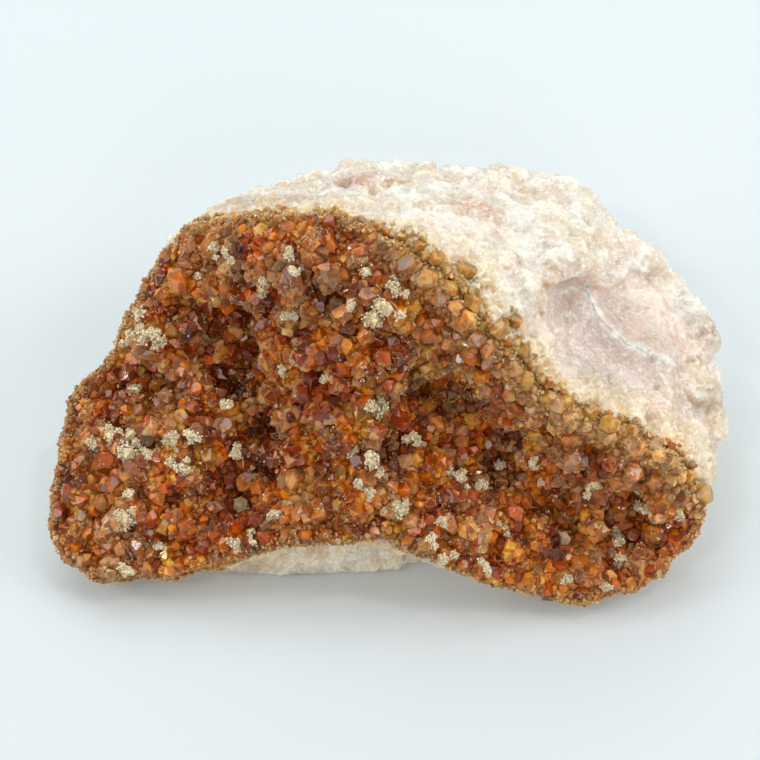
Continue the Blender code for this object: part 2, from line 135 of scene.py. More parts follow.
# Optics and sizes. Scales of noise and cells are per metre
QUARTZ_IOR = 1.54
COARSE_BREAKS = 330
FINE_BREAKS = 1150
CLOUDS = 260
FLECKS = 1700
VEILS = 1000
BEND = 1.6 * MM              # how far the noise of the quartz is bent
GLASS_SHADE = (0.92, 0.85, 0.78)
FLECK_SHADE = (0.86, 0.78, 0.7)
VEIL_SHADE = (0.55, 0.38, 0.24)
QUARTZ_VOXEL = 0.52 * MM
GROWTH_VOXEL = 0.6 * MM
# Broken blocks of the quartz: (size in mm, height in mm, seed)
BLOCKS = ((5.5, 1.3, 20), (2.6, 0.75, 40), (1.3, 0.32, 60))
PLATE_CALM = 0.7            # how much of the blocks is missing on the glass plates
PLATE_DEPTH = 0.45          # and how deep they lie, in mm
SEAM_WIDTH = 5 * MM         # the band of quartz beside the crust that carries seam crystals
SEAM_TRIES = 50000
SEAM_COUNT = 5500           # the most seam crystals that are kept
SUGAR_COUNT = 15000
ROSETTE_SPREAD = 1.15
# Crystals of the crust: piece, tries, radius in mm, spacing, least turn to the camera, how far they
# stand out in radii, lean, and the least thickness of the crust in mm that carries them
CRYSTAL_GROUPS = (
    ("citrine_crystals_large", 9000, (1.1, 1.8), 0.56, 0.12, (-0.25, 0.3), 0.30, 3.6),
    ("citrine_crystals_medium", 16000, (0.7, 1.1), 0.52, 0.12, (-0.1, 0.6), 0.36, 2.6),
    ("citrine_crystals_small", 40000, (0.3, 0.7), 0.60, -0.35, (0.1, 1.1), 0.42, 0),
)
# Lights: name, place, size, power, colour
LIGHTS = (
    ("window", (-0.12, 0.5, 0.62), (0.75, 0.5), 3.2, (0.80, 0.93, 1.0)),
    ("front", (0.15, -0.6, 0.42), (0.35, 0.25), 0.9, (1.0, 0.97, 0.92)),
    ("left glint", (-0.35, -0.25, 0.6), (0.08, 0.08), 0.45, (1.0, 0.98, 0.95)),
    ("right glint", (0.3, 0.1, 0.7), (0.08, 0.08), 0.45, (1.0, 0.98, 0.95)),
    ("left fill", (-0.6, 0.0, 0.35), (0.3, 0.5), 1.3, (0.95, 0.98, 1.0)),
    ("right fill", (0.6, 0.05, 0.35), (0.3, 0.5), 1.9, (0.95, 0.98, 1.0)),
)
# The room's light from most sides, and from the dim side behind the camera
ROOM_LIGHT = 0.57
ROOM_SHADE = 0.13
ROOM_COLOUR = (1.0, 0.985, 0.96, 1)

# Valleys between the lumps of crystals, where the growth layer is sunk and the crystals get painted shade:
# (x, y, radius in mm)
VALLEYS = [
    (243, 325, 3), (245, 350, 3), (240, 385, 3.5), (150, 375, 3), (261, 425, 3), (268, 473, 3),
    (238, 499, 3), (422, 389, 3.5), (450, 400, 4), (500, 460, 4), (560, 500, 4), (560, 532, 4),
    (636, 499, 4), (630, 530, 3.5), (330, 300, 3), (180, 310, 2.5), (400, 445, 3), (320, 470, 3),
    (590, 455, 3), (205, 430, 2.5),
]
# Patches of painted glow, where the crystals are mixed towards a brighter orange
GLOW_PATCHES = [
    (215, 280, 4), (300, 240, 4), (365, 250, 4), (170, 370, 3), (230, 400, 3), (120, 500, 4),
    (90, 545, 4), (200, 520, 4), (300, 440, 4), (310, 520, 4), (420, 330, 4), (520, 500, 3.5),
    (470, 550, 4), (520, 575, 4), (600, 575, 4), (690, 520, 3), (600, 530, 6), (545, 485, 5),
    (665, 500, 5), (430, 480, 3.5), (350, 340, 4), (100, 400, 3.5), (640, 460, 4), (560, 430, 3.5),
]
# Patches of paler, tan crystals
PALE = [
    (560, 440, 6), (620, 500, 6), (590, 560, 5), (520, 420, 5), (110, 500, 6), (90, 560, 5), (350, 290, 7),
    (300, 250, 4), (440, 330, 5), (400, 500, 4), (660, 470, 5), (480, 520, 4), (230, 240, 4), (150, 430, 4),
]
# The tan band of side-on crystals along the crust's upper right rim
TAN_RIM = [(395, 240), (430, 265), (465, 292), (490, 325), (515, 360), (545, 398), (590, 420), (640, 440),
           (680, 468), (706, 500)]
# The layered broken edge along the bottom
LOWER_RIM = [(52, 560), (80, 583), (120, 585), (165, 578), (215, 568), (262, 556), (300, 548), (360, 546),
             (400, 552), (440, 568)]

# Pale rosettes on the crystals: (x, y, radius in mm)
ROSETTES = [
    (151, 333, 1.9), (124, 343, 1.2), (161, 343, 1.0), (138, 387, 1.0), (215, 248, 1.0), (227, 255, 0.8),
    (198, 275, 0.9), (111, 431, 1.3), (91, 442, 1.0), (129, 446, 1.9), (145, 456, 1.1), (170, 438, 1.3),
    (191, 434, 1.1), (235, 451, 1.0), (182, 469, 1.3), (128, 494, 1.0), (128, 519, 1.5), (161, 547, 1.0),
    (129, 570, 1.0), (238, 542, 0.9), (250, 537, 0.8), (273, 513, 0.9), (222, 403, 0.9), (354, 449, 1.3),
    (375, 407, 1.3), (372, 465, 1.4), (368, 489, 1.2), (398, 507, 1.6), (379, 321, 2.0), (396, 285, 1.2),
    (262, 289, 1.1), (287, 256, 0.8), (292, 271, 0.8), (293, 316, 0.9), (352, 302, 1.0), (365, 271, 0.8),
    (284, 373, 0.9), (325, 378, 0.9), (415, 437, 1.2), (459, 478, 1.2), (484, 484, 1.0), (498, 464, 0.9),
    (442, 519, 1.0), (505, 527, 0.8), (430, 540, 1.0), (443, 558, 1.0), (485, 565, 0.8), (597, 487, 1.0),
    (532, 463, 0.8), (541, 480, 0.8), (678, 512, 0.9), (647, 509, 1.0), (616, 535, 1.3), (621, 562, 1.0),
    (567, 578, 0.9), (606, 587, 0.9),
]

# Patches on the quartz: (x, y, radius in mm, colour, strength)
PATCHES = [
    (475, 164, 3, STAIN, 0.7), (452, 161, 2.4, STAIN, 0.7), (497, 168, 2.4, STAIN, 0.6),
    (365, 181, 3.8, PINK_BROWN, 1.0), (347, 183, 2.4, PINK_BROWN, 0.9), (385, 178, 1.8, PINK_BROWN, 0.9),
    (292, 188, 3, ROSE, 0.6), (240, 205, 4, ROSE, 0.35), (517, 259, 1.6, STAIN, 0.8),
    (543, 283, 1.2, STAIN, 0.8), (600, 320, 7, ROSE, 0.85), (640, 350, 7, ROSE, 0.8),
    (575, 300, 5, ROSE, 0.7), (665, 330, 5, ROSE, 0.6), (600, 370, 5, ROSE, 0.6), (560, 330, 4, ROSE, 0.6),
    (490, 210, 6, ROSE, 0.25), (548, 398, 2.2, PEACH, 0.8),
]
# The white vein that crosses the glassy hollow
VEIN = [(584, 282), (590, 300), (600, 320), (622, 340), (647, 354), (668, 362)]
# The lip of the ledge over the glassy hollow
LEDGE_LIP = [(512, 254), (528, 270), (543, 286), (551, 286), (578, 274), (600, 277), (614, 280), (627, 263)]
# The two smooth glass plates of the hollow under the ledge, parted by the vein
MAUVE_PLATE = [(545, 288), (578, 276), (590, 300), (600, 320), (622, 340), (647, 354), (660, 382), (636, 390),
               (600, 368), (556, 345), (546, 315)]
SALMON_PLATE = [(580, 276), (614, 281), (628, 264), (668, 300), (690, 328), (694, 348), (684, 362),
                (647, 354), (622, 340), (600, 320), (590, 300)]
# Smooth lumps of the quartz: (x, y, radius, height in mm)
LUMPS = [
    (694, 296, 2.6, 0.9), (706, 331, 3.2, 1.0), (714, 398, 3.4, 1.0), (660, 290, 3.0, 0.6),
    (632, 240, 3.0, 0.7), (590, 215, 4.0, 0.6), (545, 190, 4.0, 0.6), (352, 160, 2.4, 0.6),
    (240, 200, 3.0, 0.6), (300, 195, 3.0, 0.5),
]
# Rounded amber crystals where the crust meets the quartz: (x, y, radius in mm)
KNOBS = [
    (421, 246, 1.2), (437, 258, 1.4), (465, 272, 2.0), (451, 288, 1.4), (473, 304, 2.1), (484, 322, 1.5),
    (499, 327, 2.2), (516, 321, 1.3), (505, 350, 1.4), (524, 352, 1.5), (528, 380, 1.4), (548, 398, 1.7),
    (566, 402, 1.3), (590, 412, 1.5), (610, 424, 1.9), (632, 430, 1.4), (655, 446, 1.5), (688, 478, 1.8),
    (672, 462, 1.3), (707, 493, 1.8), (400, 238, 1.1), (378, 226, 1.0),
]
# Glassy zones, where the quartz is clearer
GLASSY = [
    (610, 330, 8), (650, 350, 7), (575, 305, 5), (352, 155, 2), (693, 294, 3), (707, 331, 4), (715, 400, 4),
    (300, 200, 5), (240, 205, 4), (600, 375, 5),
]


def ray_through(x, y):
    """Direction of the camera's ray through a pixel."""
    across = (x - PICTURE / 2) * MM_PER_PIXEL * MM
    up = (PICTURE / 2 - y) * MM_PER_PIXEL * MM
    return (Vector((across, 0, 0)) + UPWARD * up - FACING * DISTANCE).normalized()


def tree_of(*meshes):
    """One search tree over the triangles of some meshes."""
    corners, faces = [], []
    for mesh in meshes:
        start = len(corners)
        corners += [v.co.copy() for v in mesh.vertices]
        faces += [tuple(start + i for i in p.vertices) for p in mesh.polygons]
    return bvhtree.BVHTree.FromPolygons(corners, faces)


CRUST_MESH = frame["nodes"]["citrine_druse"].data
QUARTZ_MESH = frame["nodes"]["quartz_matrix"].data
SOLID_TREE = tree_of(CRUST_MESH, QUARTZ_MESH)
CRUST_TREE = tree_of(CRUST_MESH)


def on_solid(x, y):
    """The place on the solids that a pixel shows. A pixel just past their outline takes the nearest place."""
    direction = ray_through(x, y)
    hit = SOLID_TREE.ray_cast(EYE, direction)
    if hit[0] is None:
        reach = (FOCUS - EYE).length
        hit = SOLID_TREE.find_nearest(EYE + direction * reach)
    return hit[0], hit[1]


def pixels_of(places):
    """The pixels at which the camera sees places."""
    offset = places - np.array(FOCUS)
    reach = DISTANCE - offset @ np.array(FACING)
    scale = DISTANCE / reach / (MM_PER_PIXEL * MM)
    return PICTURE / 2 + offset[:, 0] * scale, PICTURE / 2 - (offset @ np.array(UPWARD)) * scale


def inside(x, y, outline):
    """Whether pixels lie within an outline."""
    within = np.zeros(len(x), bool)
    for (x0, y0), (x1, y1) in zip(outline, outline[1:] + outline[:1]):
        if y0 == y1:
            continue
        crosses = (y > min(y0, y1)) & (y <= max(y0, y1)) & (x < x0 + (y - y0) * (x1 - x0) / (y1 - y0))
        within ^= crosses
    return within


def rim_at(places):
    """How near each place is to the crust's outline as the camera sees it, 0 to 1."""
    x, y = pixels_of(places)
    missed = np.zeros(len(places))
    for turn in np.arange(8) * math.tau / 8:
        for reach, share in ((6, 0.5), (12, 0.5)):
            for i in range(len(places)):
                way = ray_through(x[i] + reach * math.cos(turn), y[i] + reach * math.sin(turn))
                missed[i] += share * (CRUST_TREE.ray_cast(EYE, way)[0] is None)
    return np.clip(missed / 2.4, 0, 1)


def spots_on(points):
    """Rows of (place, radius in metres) for pixels with a radius in mm."""
    return np.array([(*on_solid(p[0], p[1])[0], p[2] * MM) for p in points])


def nearness(places, spots, softness=1.0):
    """How much each place lies in any of the spots, 0 to 1."""
    gap = np.linalg.norm(places[:, None] - spots[None, :, :3], axis=2) / spots[None, :, 3]
    return np.exp(-(gap ** 2) * softness).max(1)


def line_distance(places, pixels):
    """Distance of places from a line over the solids given by pixels, measured through space."""
    line = np.array([on_solid(*p)[0] for p in pixels])
    start, side = line[:-1], np.diff(line, axis=0)
    offset = places[:, None] - start[None]
    share = np.clip((offset * side).sum(2) / (side ** 2).sum(1), 0, 1)
    return np.linalg.norm(offset - share[..., None] * side, axis=2).min(1)


def hashed(cells, seed):
    """Repeatable random numbers from 0 to 1 for rows of whole numbers."""
    mixed = (cells * np.array([73856093, 19349663, 83492791])).sum(-1) + seed * 2654435761
    mixed = (mixed ^ (mixed >> 13)) * 1274126177
    mixed = mixed ^ (mixed >> 16)
    return (mixed & 0xFFFFFF) / 0xFFFFFF


def blocks(places, size, seed):
    """Broken-block relief at places: a height from -0.5 to 0.5 that is flat and tilted within each block."""
    scaled = places / size
    base = np.floor(scaled).astype(np.int64)
    best = np.full(len(places), 1e9)
    second = np.full(len(places), 1e9)
    relief = np.zeros(len(places))
    for step in np.ndindex(3, 3, 3):
        cell = base + np.array(step) - 1
        centre = cell + np.stack([hashed(cell, seed + k) for k in (1, 2, 3)], axis=1)
        offset = scaled - centre
        square = (offset ** 2).sum(1)
        slope = np.stack([hashed(cell, seed + k) - 0.5 for k in (4, 5, 6)], axis=1)
        height = (hashed(cell, seed + 7) - 0.5) + (slope * offset).sum(1) * 1.6
        nearer = square < best
        second = np.where(nearer, best, np.minimum(second, square))
        relief = np.where(nearer, height, relief)
        best = np.where(nearer, square, best)
    edge = np.clip((np.sqrt(second) - np.sqrt(best)) / 0.14, 0, 1)
    return relief * (0.35 + 0.65 * edge)


def fractal(places, size, seed):
    """Smooth noise from -1 to 1."""
    shift = Vector((seed * 3.7, seed * 1.3, seed * 2.1))
    return np.array([noise.noise(Vector(p) / size + shift) for p in places])


def arrays_of(mesh):
    """Vertex places and normals as arrays."""
    places = np.empty(len(mesh.vertices) * 3)
    mesh.vertices.foreach_get("co", places)
    normals = np.empty(len(mesh.vertices) * 3)
    mesh.vertices.foreach_get("normal", normals)
    return places.reshape(-1, 3), normals.reshape(-1, 3)


def put_back(mesh, places):
    """Writes vertex places, held inside the solids' box."""
    margin = 0.02 * MM
    held = np.clip(places, np.array(CAD_LOW) + [margin, margin, 0], np.array(CAD_HIGH) - margin)
    mesh.vertices.foreach_set("co", held.ravel())
    mesh.update()


def paint(mesh, name, colours):
    """A colour for each vertex."""
    layer = mesh.color_attributes.new(name, "FLOAT_COLOR", "POINT")
    rows = np.ones((len(mesh.vertices), 4), np.float32)
    rows[:, :colours.shape[1]] = colours
    layer.data.foreach_set("color", rows.ravel())


def linked(name, mesh):
    """A new object in the scene."""
    made = bpy.data.objects.new(name, mesh)
    bpy.context.scene.collection.objects.link(made)
    return made


def remeshed(source, name, voxel, rounds):
    """A fine even mesh of a solid, with its edges worn by some rounds of smoothing."""
    made = linked(name, source.copy())
    even = made.modifiers.new("even", "REMESH")
    even.mode = "VOXEL"
    even.voxel_size = voxel
    worn = made.modifiers.new("worn", "SMOOTH")
    worn.iterations = rounds
    worn.factor = 0.5
    graph = bpy.context.evaluated_depsgraph_get()
    mesh = bpy.data.meshes.new_from_object(made.evaluated_get(graph))
    made.modifiers.clear()
    made.data = mesh
    mesh.materials.clear()
    return made


def mixed(colours, colour, amount):
    """Rows of colours moved towards one colour by an amount each."""
    return colours + (np.array(colour) - colours) * amount[:, None]


# Materials


def principled(name):
    """A new material with its nodes, its links and its shader."""
    material = bpy.data.materials.new(name)
    material.use_nodes = True
    nodes = material.node_tree.nodes
    return material, nodes, material.node_tree.links, nodes["Principled BSDF"]


def bump_from(nodes, links, shader, height, distance, strength):
    """Fine relief of a shader from a height."""
    bump = nodes.new("ShaderNodeBump")
    bump.inputs["Strength"].default_value = strength
    bump.inputs["Distance"].default_value = distance
    links.new(height, bump.inputs["Height"])
    links.new(bump.outputs["Normal"], shader.inputs["Normal"])
    return bump


def noise_on(nodes, links, place, scale, detail):
    """Soft noise of 0 to 1 over a place."""
    made = nodes.new("ShaderNodeTexNoise")
    made.inputs["Scale"].default_value = scale
    made.inputs["Detail"].default_value = detail
    links.new(place, made.inputs["Vector"])
    return made.outputs["Fac"]


def ranged(nodes, links, value, start, end, low, high):
    """A value carried from one range to another, held at its ends."""
    made = nodes.new("ShaderNodeMapRange")
    for name, number in (("From Min", start), ("From Max", end), ("To Min", low), ("To Max", high)):
        made.inputs[name].default_value = number
    links.new(value, made.inputs["Value"])
    return made.outputs["Result"]


def maths(nodes, links, operation, first, second):
    """One sum on two values; the second may be a number."""
    made = nodes.new("ShaderNodeMath")
    made.operation = operation
    links.new(first, made.inputs[0])
    if isinstance(second, (int, float)):
        made.inputs[1].default_value = second
    else:
        links.new(second, made.inputs[1])
    return made.outputs[0]


def blended(nodes, links, mode, amount, first, second):
    """Two colours mixed; the amount may be a number and the second a plain colour."""
    made = nodes.new("ShaderNodeMix")
    made.data_type = "RGBA"
    made.blend_type = mode
    if isinstance(amount, (int, float)):
        made.inputs["Factor"].default_value = amount
    else:
        links.new(amount, made.inputs["Factor"])
    links.new(first, made.inputs["A"])
    if isinstance(second, tuple):
        made.inputs["B"].default_value = (*second, 1)
    else:
        links.new(second, made.inputs["B"])
    return made.outputs["Result"]


def attribute(nodes, name):
    """The painted colours of a mesh."""
    made = nodes.new("ShaderNodeVertexColor")
    made.layer_name = name
    return made


def broken_facets(nodes, links, place, scale):
    """A height that is a tilted plane within each cell, like splintered glass."""
    cells = nodes.new("ShaderNodeTexVoronoi")
    cells.inputs["Scale"].default_value = scale
    links.new(place, cells.inputs["Vector"])
    within = nodes.new("ShaderNodeVectorMath")
    within.operation = "SUBTRACT"
    links.new(place, within.inputs[0])
    links.new(cells.outputs["Position"], within.inputs[1])
    tilt = nodes.new("ShaderNodeVectorMath")
    tilt.operation = "SUBTRACT"
    tilt.inputs[1].default_value = (0.5, 0.5, 0.5)
    links.new(cells.outputs["Color"], tilt.inputs[0])
    height = nodes.new("ShaderNodeVectorMath")
    height.operation = "DOT_PRODUCT"
    links.new(within.outputs[0], height.inputs[0])
    links.new(tilt.outputs[0], height.inputs[1])
    return height.outputs["Value"], cells.outputs["Color"]


def quartz_material():
    """Milky quartz: cloudy and splintered, with fine white veins and glossier spots."""
    material, nodes, links, shader = principled("milky quartz")
    tint = attribute(nodes, "Tint")
    place = nodes.new("ShaderNodeTexCoord")
    warp = nodes.new("ShaderNodeTexNoise")
    warp.inputs["Scale"].default_value = 400
    warp.inputs["Detail"].default_value = 3
    links.new(place.outputs["Object"], warp.inputs["Vector"])
    bent = nodes.new("ShaderNodeVectorMath")
    bent.operation = "MULTIPLY_ADD"
    bent.inputs[1].default_value = (BEND, BEND, BEND)
    links.new(warp.outputs["Color"], bent.inputs[0])
    links.new(place.outputs["Object"], bent.inputs[2])
    coarse, coarse_tone = broken_facets(nodes, links, bent.outputs[0], COARSE_BREAKS)
    small, small_tone = broken_facets(nodes, links, bent.outputs[0], FINE_BREAKS)
    step = nodes.new("ShaderNodeSeparateColor")
    links.new(coarse_tone, step.inputs["Color"])
    fine_step = nodes.new("ShaderNodeSeparateColor")
    links.new(small_tone, fine_step.inputs["Color"])
    uneven = maths(nodes, links, "MULTIPLY", step.outputs["Green"], 0.16)
    fine_uneven = maths(nodes, links, "MULTIPLY", fine_step.outputs["Green"], 0.08)
    uneven = maths(nodes, links, "ADD", uneven, fine_uneven)
    clouds = maths(nodes, links, "ADD", noise_on(nodes, links, bent.outputs[0], CLOUDS, 6), uneven)
    glass = ranged(nodes, links, clouds, 0.57, 0.69, 0.0, 1.0)
    glass = maths(nodes, links, "MAXIMUM", glass, maths(nodes, links, "MULTIPLY", tint.outputs["Alpha"], 3.6))
    glassy = blended(nodes, links, "MULTIPLY", 1.0, tint.outputs["Color"], GLASS_SHADE)
    colour = blended(nodes, links, "MIX", glass, tint.outputs["Color"], glassy)
    ridge = maths(nodes, links, "SUBTRACT", noise_on(nodes, links, place.outputs["Object"], 330, 3), 0.5)
    ridge = maths(nodes, links, "ABSOLUTE", ridge, 0.0)
    vein = ranged(nodes, links, ridge, 0.0, 0.03, 0.35, 0.0)
    colour = blended(nodes, links, "MIX", vein, colour, VEIN_WHITE)
    fleck = noise_on(nodes, links, bent.outputs[0], FLECKS, 4)
    pale = ranged(nodes, links, fleck, 0.57, 0.63, 0.0, 0.75)
    colour = blended(nodes, links, "MIX", pale, colour, VEIN_WHITE)
    dusky = blended(nodes, links, "MULTIPLY", 1.0, colour, FLECK_SHADE)
    colour = blended(nodes, links, "MIX", ranged(nodes, links, fleck, 0.36, 0.43, 0.6, 0.0), colour, dusky)
    links.new(colour, shader.inputs["Base Color"])
    clear = maths(nodes, links, "MULTIPLY", glass, 0.12)
    links.new(maths(nodes, links, "ADD", clear, tint.outputs["Alpha"]), shader.inputs["Transmission Weight"])
    height = maths(nodes, links, "ADD", coarse, maths(nodes, links, "MULTIPLY", small, 1.5))
    grain = noise_on(nodes, links, place.outputs["Object"], 1500, 3)
    grain = maths(nodes, links, "MULTIPLY", grain, 0.00025)
    height = maths(nodes, links, "ADD", height, grain)
    height = maths(nodes, links, "MULTIPLY", height, ranged(nodes, links, glass, 0.0, 1.0, 1.0, 0.45))
    bump_from(nodes, links, shader, height, 1.0, 0.4)
    links.new(ranged(nodes, links, glass, 0.0, 1.0, 0.3, 0.08), shader.inputs["Roughness"])
    shader.inputs["IOR"].default_value = QUARTZ_IOR
    shader.inputs["Subsurface Weight"].default_value = 0.8
    shader.inputs["Subsurface Radius"].default_value = (1.0, 0.85, 0.7)
    shader.inputs["Subsurface Scale"].default_value = 0.0024
    return material


def citrine_material():
    """Crystal with cloudy orange inside."""
    material, nodes, links, shader = principled("citrine")
    tint = attribute(nodes, "Tint")
    place = nodes.new("ShaderNodeTexCoord")
    veil = noise_on(nodes, links, place.outputs["Object"], VEILS, 3)
    deep = ranged(nodes, links, veil, 0.4, 0.62, 0.0, 1.0)
    colour = blended(nodes, links, "MULTIPLY", deep, tint.outputs["Color"], VEIL_SHADE)
    links.new(colour, shader.inputs["Base Color"])
    links.new(ranged(nodes, links, veil, 0.35, 0.65, 0.4, 0.1), shader.inputs["Transmission Weight"])
    bump_from(nodes, links, shader, noise_on(nodes, links, place.outputs["Object"], 1800, 2), 0.00012, 0.3)
    shader.inputs["Roughness"].default_value = 0.09
    shader.inputs["IOR"].default_value = QUARTZ_IOR
    shader.inputs["Subsurface Weight"].default_value = 0.5
    shader.inputs["Subsurface Radius"].default_value = (1.0, 0.4, 0.12)
    shader.inputs["Subsurface Scale"].default_value = 0.0018
    return material


def growth_material():
    """The dull layer under the crystals."""
    material, nodes, links, shader = principled("citrine growth")
    tint = attribute(nodes, "Tint")
    place = nodes.new("ShaderNodeTexCoord")
    grain = noise_on(nodes, links, place.outputs["Object"], 1300, 5)
    deep = ranged(nodes, links, grain, 0.4, 0.6, 0.0, 1.0)
    links.new(blended(nodes, links, "MULTIPLY", deep, tint.outputs["Color"], (0.45, 0.3, 0.25)),
              shader.inputs["Base Color"])
    bump_from(nodes, links, shader, grain, 0.0004, 0.8)
    shader.inputs["Roughness"].default_value = 0.55
    shader.inputs["Specular IOR Level"].default_value = 0.25
    shader.inputs["Subsurface Weight"].default_value = 0.3
    shader.inputs["Subsurface Radius"].default_value = (1.0, 0.4, 0.15)
    shader.inputs["Subsurface Scale"].default_value = 0.0015
    return material


def rosette_material():
    """Chalky crystal, for the pale rosettes."""
    material, nodes, links, shader = principled("pale rosettes")
    links.new(attribute(nodes, "Tint").outputs["Color"], shader.inputs["Base Color"])
    shader.inputs["Roughness"].default_value = 0.35
    shader.inputs["IOR"].default_value = QUARTZ_IOR
    shader.inputs["Subsurface Weight"].default_value = 0.3
    shader.inputs["Subsurface Radius"].default_value = (1.0, 0.8, 0.5)
    shader.inputs["Subsurface Scale"].default_value = 0.0008
    return material


# Quartz


def quartz_tint(places):
    """Colour and clearness of the quartz at places, and how far the crust is from them."""
    colours = np.tile(np.array(MILK), (len(places), 1))
    warm = fractal(places, 7 * MM, 3)
    colours = mixed(colours, YELLOW_CREAM, np.clip(0.15 + 0.7 * warm, 0, 0.45))
    rosy = fractal(places, 9 * MM, 4)
    colours = mixed(colours, ROSE, np.clip(rosy * 1.2, 0, 0.5))
    to_crust = np.array([CRUST_TREE.find_nearest(Vector(p))[3] for p in places])
    wander = fractal(places, 4 * MM, 5)
    band = np.clip(1 - (to_crust / MM + wander * 2.5) / 8, 0, 1)
    colours = mixed(colours, YELLOW_CREAM, band ** 0.8)
    colours = mixed(colours, AMBER, np.clip(band - 0.75, 0, 1) * 2.4)
    for x, y, radius, colour, strength in PATCHES:
        spot = spots_on([(x, y, radius)])
        colours = mixed(colours, colour, strength * nearness(places, spot) * np.clip(0.75 + wander, 0.2, 1))
    x, y = pixels_of(places)
    mauve = inside(x + wander * 4, y - wander * 4, MAUVE_PLATE) * 1.0
    salmon = inside(x + wander * 4, y - wander * 4, SALMON_PLATE) * 1.0
    colours = mixed(colours, MAUVE, mauve * np.clip(0.8 - 0.8 * warm - 0.5 * wander, 0.2, 1))
    colours = mixed(colours, SALMON, salmon * np.clip(0.8 + 0.8 * warm + 0.5 * wander, 0.3, 1))
    vein = np.exp(-(line_distance(places, VEIN) / (0.75 * MM)) ** 2)
    colours = mixed(colours, VEIN_WHITE, vein)
    lip = np.exp(-(line_distance(places, LEDGE_LIP) / (0.45 * MM)) ** 2)
    colours = mixed(colours, VEIN_WHITE, 0.6 * lip)
    clear = 0.22 * nearness(places, spots_on(GLASSY)) * (1 - vein)
    return np.column_stack([colours, clear]), to_crust


def lumps_at(places):
    """Height of the smooth lumps at places, in mm."""
    height = np.zeros(len(places))
    for x, y, radius, tall in LUMPS:
        height = np.maximum(height, tall * nearness(places, spots_on([(x, y, radius)])))
    return height


def quartz_piece(material):
    """The quartz with its broken blocks, its lumps and the sunken plates of the hollow."""
    made = remeshed(QUARTZ_MESH, "milky_quartz", QUARTZ_VOXEL, 1)
    places, normals = arrays_of(made.data)
    tint, to_crust = quartz_tint(places)
    free = np.clip((to_crust / MM - 0.3) / 2.0, 0, 1) * np.clip(places[:, 2] / MM / 2, 0, 1)
    x, y = pixels_of(places)
    plates = inside(x, y, MAUVE_PLATE) * 1.0 + inside(x, y, SALMON_PLATE) * 0.6
    calm = 1 - PLATE_CALM * (plates > 0)
    relief = sum(tall * blocks(places, size * MM, seed) for size, tall, seed in BLOCKS)
    relief = calm * relief + lumps_at(places) - PLATE_DEPTH * plates
    relief += 0.6 * np.exp(-(line_distance(places, VEIN) / (2.0 * MM)) ** 2)
    places += normals * (free * relief * MM)[:, None]
    put_back(made.data, places)
    paint(made.data, "Tint", tint)
    made.data.materials.append(material)
    made.data.shade_smooth()
    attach(made, "root")
    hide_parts("quartz_matrix")
    return made


def vein_piece(material, quartz_mesh):
    """The white vein: a thin ragged ridge that follows the quartz."""
    draw = np.random.default_rng(SEED + 3)
    tree = tree_of(quartz_mesh)
    corners, faces = [], []
    for (x0, y0), (x1, y1) in zip(VEIN[:-1], VEIN[1:]):
        for share in np.arange(0, 1, 0.12):
            x, y = x0 + (x1 - x0) * share, y0 + (y1 - y0) * share
            way = ray_through(x + draw.normal(0, 1.1), y + draw.normal(0, 1.1))
            hit, normal, _, _ = tree.ray_cast(EYE, way)
            along = (on_solid(x1, y1)[0] - on_solid(x0, y0)[0]).normalized()
            across = normal.cross(along).normalized()
            wide = draw.uniform(0.2, 0.65) * MM
            deep = hit - normal * 0.3 * MM
            crest = hit + normal * draw.uniform(0.03, 0.11) * MM
            corners += [deep - across * wide, crest, deep + across * wide, deep - normal * 0.2 * MM]
    rings = len(corners) // 4
    for k in range(rings - 1):
        for side in range(4):
            turn = (side + 1) % 4
            faces.append((4 * k + side, 4 * k + turn, 4 * k + 4 + turn, 4 * k + 4 + side))
    faces += [(3, 2, 1, 0), tuple(4 * rings - 4 + i for i in range(4))]
    mesh = bpy.data.meshes.new("quartz_vein")
    mesh.from_pydata([c[:] for c in corners], [], faces)
    put_back(mesh, np.array([c[:] for c in corners]))
    mesh.shade_flat()
    paint(mesh, "Tint", np.tile(np.array([*VEIN_WHITE, 0.0]), (len(corners), 1)))
    return add_crystals("quartz_vein", material, mesh)


# Crystals


def cut(shape, normal, distance):
    """Cuts a closed shape by a plane and closes the cut."""
    everything = shape.verts[:] + shape.edges[:] + shape.faces[:]
    made = bmesh.ops.bisect_plane(shape, geom=everything, dist=1e-5, plane_co=Vector(normal) * distance,
                                  plane_no=normal, clear_outer=True)
    rim = [g for g in made["geom_cut"] if isinstance(g, bmesh.types.BMEdge)]
    if rim:
        bmesh.ops.edgeloop_fill(shape, edges=rim)


def point_template(draw, slope, apex, wear):
    """A quartz point of about unit radius: corners, faces and which faces are bevelled edges, which later get
    a painted glow.

    The tip has six sloping faces of uneven size, and the greatest of them cuts across most of it.
    """
    shape = bmesh.new()
    bmesh.ops.create_cube(shape, size=5)
    cut(shape, (0, 0, -1), 1.1)
    for k in range(6):
        turn = k * math.pi / 3
        cut(shape, (math.cos(turn), math.sin(turn), 0), draw.uniform(0.74, 0.95))
    favoured = draw.integers(6)
    for k in range(6):
        turn = k * math.pi / 3
        steep = math.radians(slope + draw.uniform(-5, 5))
        height = apex * (draw.uniform(0.72, 0.86) if k % 2 else draw.uniform(0.86, 1.05))
        if k == favoured:
            height *= draw.uniform(0.45, 0.8)
        normal = Vector((math.cos(turn) * math.sin(steep), math.sin(turn) * math.sin(steep), math.cos(steep)))
        cut(shape, normal, height * math.cos(steep))
    for face in shape.faces:
        face.material_index = 0
    if wear:
        upper = [e for e in shape.edges if min(v.co.z for v in e.verts) > -0.6]
        made = bmesh.ops.bevel(shape, geom=upper, offset=wear, segments=1, profile=0.5, affect="EDGES",
                               clamp_overlap=True)
        for face in made["faces"]:
            face.material_index = 1
    shape.verts.index_update()
    corners = np.array([v.co[:] for v in shape.verts])
    faces = [[v.index for v in f.verts] for f in shape.faces]
    worn = np.array([f.material_index for f in shape.faces])
    shape.free()
    return corners, faces, worn


